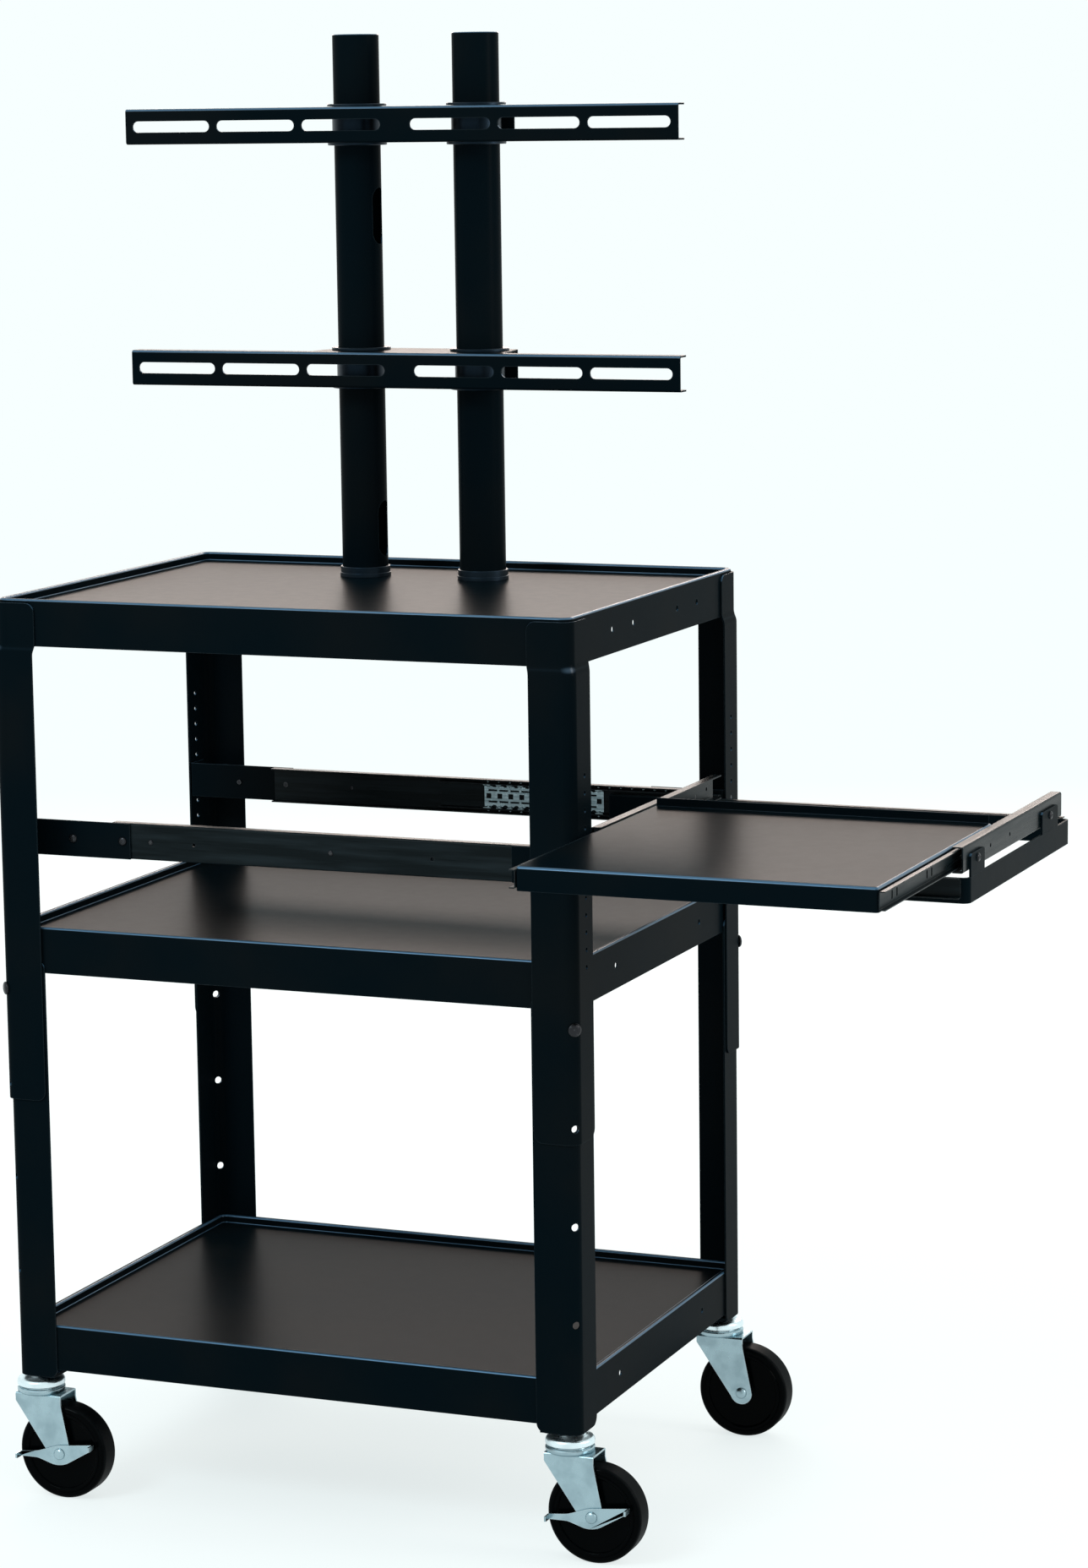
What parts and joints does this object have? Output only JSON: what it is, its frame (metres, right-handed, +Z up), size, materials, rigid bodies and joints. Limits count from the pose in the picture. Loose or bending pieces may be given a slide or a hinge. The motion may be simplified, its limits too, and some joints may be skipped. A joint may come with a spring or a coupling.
{
  "type": "audio visual cart",
  "caption": "Black steel media cart with lipped shelves, telescoping legs, screen poles with slotted brackets, a sliding laptop tray and swivel casters.",
  "frame": {"origin": "middle of the overall box's footprint, on the floor", "axes": "+Z up; +X to the right along the long side, towards the laptop tray; +Y from the front skirts to the poles at the back"},
  "size_m": [1.043, 0.6698, 1.539],
  "materials": {
    "black_coat": "black textured powder coat, satin",
    "black_slide_steel": "black slide steel, thin film of grease",
    "retainer_steel": "bright pressed steel",
    "zinc_plate": "bright zinc plate",
    "black_bolt": "black oxide",
    "black_plastic": "moulded black",
    "wheel_black": "glossy moulded black"
  },
  "bodies": {
    "base": {"bottom_shelf": "black_coat", "lower_leg_front_left": "black_coat", "lower_leg_front_right": "black_coat", "lower_leg_back_left": "black_coat", "lower_leg_back_right": "black_coat", "caster_race_front_left": "zinc_plate", "caster_race_front_right": "zinc_plate", "caster_race_back_left": "zinc_plate", "caster_race_back_right": "zinc_plate"},
    "upper_frame": {"top_shelf": "black_coat", "middle_shelf": "black_coat", "upper_leg_front_left": "black_coat", "upper_leg_front_right": "black_coat", "upper_leg_back_left": "black_coat", "upper_leg_back_right": "black_coat", "height_bolt_front_left": "black_bolt", "height_bolt_front_right": "black_bolt", "height_bolt_back_left": "black_bolt", "height_bolt_back_right": "black_bolt", "pole_left": "black_coat", "pole_right": "black_coat", "pole_base_ring_left": "black_plastic", "pole_base_ring_right": "black_plastic", "side_slide_outer_front": "black_slide_steel", "side_slide_outer_back": "black_slide_steel", "slide_bracket_front_left": "black_coat", "slide_bracket_front_right": "black_coat", "slide_bracket_back_left": "black_coat", "slide_bracket_back_right": "black_coat"},
    "bracket_upper": {"screen_bracket_upper": "black_coat", "bracket_bushing_upper_left": "black_plastic", "bracket_bushing_upper_right": "black_plastic"},
    "bracket_lower": {"screen_bracket_lower": "black_coat", "bracket_bushing_lower_left": "black_plastic", "bracket_bushing_lower_right": "black_plastic"},
    "side_slides_middle": {"side_slide_middle_front": "black_slide_steel", "side_slide_middle_back": "black_slide_steel", "side_slide_retainer_front": "retainer_steel", "side_slide_retainer_back": "retainer_steel"},
    "carriage": {"carriage_frame": "black_coat", "side_slide_inner_front": "black_slide_steel", "side_slide_inner_back": "black_slide_steel", "tray_slide_outer_left": "black_slide_steel", "tray_slide_outer_right": "black_slide_steel"},
    "tray_retainers": {"tray_slide_retainer_left": "retainer_steel", "tray_slide_retainer_right": "retainer_steel"},
    "tray": {"laptop_tray": "black_coat", "tray_slide_inner_left": "black_slide_steel", "tray_slide_inner_right": "black_slide_steel"},
    "swivel_front_left": {"caster_fork_front_left": "zinc_plate"},
    "wheel_body_front_left": {"wheel_front_left": "wheel_black"},
    "pedal_front_left": {"brake_pedal_front_left": "zinc_plate"},
    "swivel_front_right": {"caster_fork_front_right": "zinc_plate"},
    "wheel_body_front_right": {"wheel_front_right": "wheel_black"},
    "pedal_front_right": {"brake_pedal_front_right": "zinc_plate"},
    "swivel_back_left": {"caster_fork_back_left": "zinc_plate"},
    "wheel_body_back_left": {"wheel_back_left": "wheel_black"},
    "swivel_back_right": {"caster_fork_back_right": "zinc_plate"},
    "wheel_body_back_right": {"wheel_back_right": "wheel_black"}
  },
  "joints": [
    {"name": "height_slide", "type": "slide", "parent": "base", "child": "upper_frame", "axis": [0, 0, 1], "range_m": [-0.1016, 0.1016]},
    {"name": "upper_bracket_slide", "type": "slide", "parent": "upper_frame", "child": "bracket_upper", "axis": [0, 0, 1], "range_m": [-0.1, 0.05]},
    {"name": "lower_bracket_slide", "type": "slide", "parent": "upper_frame", "child": "bracket_lower", "axis": [0, 0, 1], "range_m": [-0.18, 0.1]},
    {"name": "carriage_slide", "type": "slide", "parent": "upper_frame", "child": "carriage", "axis": [1, 0, 0], "range_m": [-0.002, 0]},
    {"name": "middle_member_slide", "type": "slide", "parent": "upper_frame", "child": "side_slides_middle", "axis": [1, 0, 0], "range_m": [-0.001, 0]},
    {"name": "tray_slide", "type": "slide", "parent": "carriage", "child": "tray", "axis": [0, 1, 0], "range_m": [0, 0.2]},
    {"name": "tray_retainer_slide", "type": "slide", "parent": "carriage", "child": "tray_retainers", "axis": [0, 1, 0], "range_m": [0, 0.1]},
    {"name": "caster_swivel_front_left", "type": "hinge", "parent": "base", "child": "swivel_front_left", "pos_m": [-0.496, -0.1392, 0.1331], "axis": [0, 0, 1], "continuous": true},
    {"name": "wheel_spin_front_left", "type": "hinge", "parent": "swivel_front_left", "child": "wheel_body_front_left", "pos_m": [-0.466, -0.1392, 0.0508], "axis": [0, 1, 0], "continuous": true},
    {"name": "brake_pedal_tilt_front_left", "type": "hinge", "parent": "swivel_front_left", "child": "pedal_front_left", "pos_m": [-0.466, -0.1392, 0.0508], "axis": [0, 1, 0], "range_deg": [0, 20]},
    {"name": "caster_swivel_front_right", "type": "hinge", "parent": "base", "child": "swivel_front_right", "pos_m": [0.1126, -0.1392, 0.1331], "axis": [0, 0, 1], "continuous": true},
    {"name": "wheel_spin_front_right", "type": "hinge", "parent": "swivel_front_right", "child": "wheel_body_front_right", "pos_m": [0.1426, -0.1392, 0.0508], "axis": [0, 1, 0], "continuous": true},
    {"name": "brake_pedal_tilt_front_right", "type": "hinge", "parent": "swivel_front_right", "child": "pedal_front_right", "pos_m": [0.1426, -0.1392, 0.0508], "axis": [0, 1, 0], "range_deg": [0, 20]},
    {"name": "caster_swivel_back_left", "type": "hinge", "parent": "base", "child": "swivel_back_left", "pos_m": [-0.496, 0.3094, 0.1331], "axis": [0, 0, 1], "continuous": true},
    {"name": "wheel_spin_back_left", "type": "hinge", "parent": "swivel_back_left", "child": "wheel_body_back_left", "pos_m": [-0.466, 0.3094, 0.0508], "axis": [0, 1, 0], "continuous": true},
    {"name": "caster_swivel_back_right", "type": "hinge", "parent": "base", "child": "swivel_back_right", "pos_m": [0.1126, 0.3094, 0.1331], "axis": [0, 0, 1], "continuous": true},
    {"name": "wheel_spin_back_right", "type": "hinge", "parent": "swivel_back_right", "child": "wheel_body_back_right", "pos_m": [0.1426, 0.3094, 0.0508], "axis": [0, 1, 0], "continuous": true}
  ],
  "couplings": [
    {"joint": "middle_member_slide", "follows": "carriage_slide", "ratio": 0.5},
    {"joint": "tray_retainer_slide", "follows": "tray_slide", "ratio": 0.5}
  ]
}
